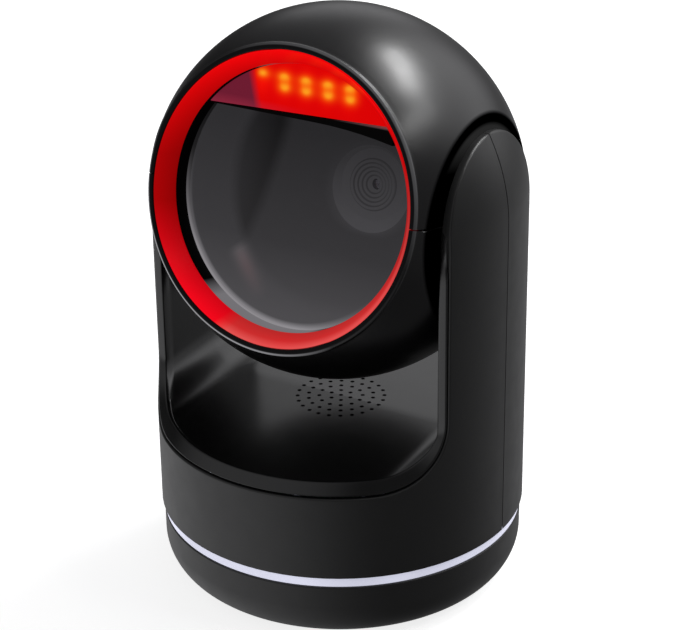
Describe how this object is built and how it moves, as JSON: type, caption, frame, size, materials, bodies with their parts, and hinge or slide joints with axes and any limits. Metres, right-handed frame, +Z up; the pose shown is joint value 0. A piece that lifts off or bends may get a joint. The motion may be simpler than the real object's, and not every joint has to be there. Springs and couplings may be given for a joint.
{
  "type": "desktop presentation barcode scanner",
  "caption": "Hands-free barcode scanner: a ball head with a round red-ringed window tilts between the arms of a U-shaped yoke on a round base.",
  "frame": {"origin": "on the table, at the centre of the round base's footprint, level with the undersides of the rubber feet", "axes": "+Z up along the base's axis, the window faces -Y and is tilted 14.5 degrees up at rest, +X is along the head's tilt axis"},
  "size_m": [0.09, 0.09, 0.1425],
  "materials": {
    "body_black": "fine matte moulded texture",
    "saddle_black": "semi-gloss moulded black",
    "base_black": "fine matte moulded texture",
    "head_black": "satin moulded black",
    "inner_black": "dull black",
    "band_white": "translucent milky white",
    "ring_red": "translucent red, lit from behind",
    "panel_red": "translucent red diffuser",
    "led_orange": "lit LED package",
    "window_smoked": "smoked, polished",
    "lens_glass": "coated lens",
    "rubber": "matte rubber",
    "steel": "plain zinc-plated steel",
    "circuit_green": "solder-masked circuit board",
    "bush_plastic": "natural acetal",
    "flex_amber": "polyimide flex",
    "cone_paper": "black speaker cone"
  },
  "bodies": {
    "stand": {"base_cover": "base_black", "ballast_plate": "steel", "ballast_screw": "steel", "light_band": "band_white", "band_led_board": "circuit_green", "main_board": "circuit_green", "cable_socket": "inner_black", "speaker_frame": "steel", "speaker_cone": "cone_paper", "front_cover": "body_black", "rear_cover": "body_black", "saddle": "saddle_black", "head_flex_cable": "flex_amber", "board_screw_front": "steel", "board_screw_rear": "steel", "foot_front": "rubber", "foot_rear": "rubber", "foot_left": "rubber", "foot_right": "rubber", "pivot_bush_left": "bush_plastic", "friction_washer_left": "steel", "pivot_bush_right": "bush_plastic", "friction_washer_right": "steel", "base_screw_1": "steel", "base_screw_2": "steel", "base_screw_3": "steel", "base_screw_4": "steel"},
    "head": {"head_upper_shell": "head_black", "head_lower_shell": "head_black", "red_light_ring": "ring_red", "window_bezel": "inner_black", "scan_window": "window_smoked", "led_panel": "panel_red", "led_board": "circuit_green", "optical_hood": "inner_black", "lens_barrel": "inner_black", "lens": "lens_glass", "imager_board": "circuit_green", "head_board": "circuit_green", "trunnion_left": "bush_plastic", "retaining_clip_left": "steel", "trunnion_right": "bush_plastic", "retaining_clip_right": "steel", "bezel_screw_1": "steel", "bezel_screw_2": "steel", "bezel_screw_3": "steel", "bezel_screw_4": "steel", "led_1": "led_orange", "led_2": "led_orange", "led_3": "led_orange", "led_4": "led_orange", "led_5": "led_orange"}
  },
  "joints": [
    {"name": "head_tilt", "type": "hinge", "parent": "stand", "child": "head", "pos_m": [0, 0, 0.09814], "axis": [-1, 0, 0], "range_deg": [-34.5, 30.5]}
  ]
}
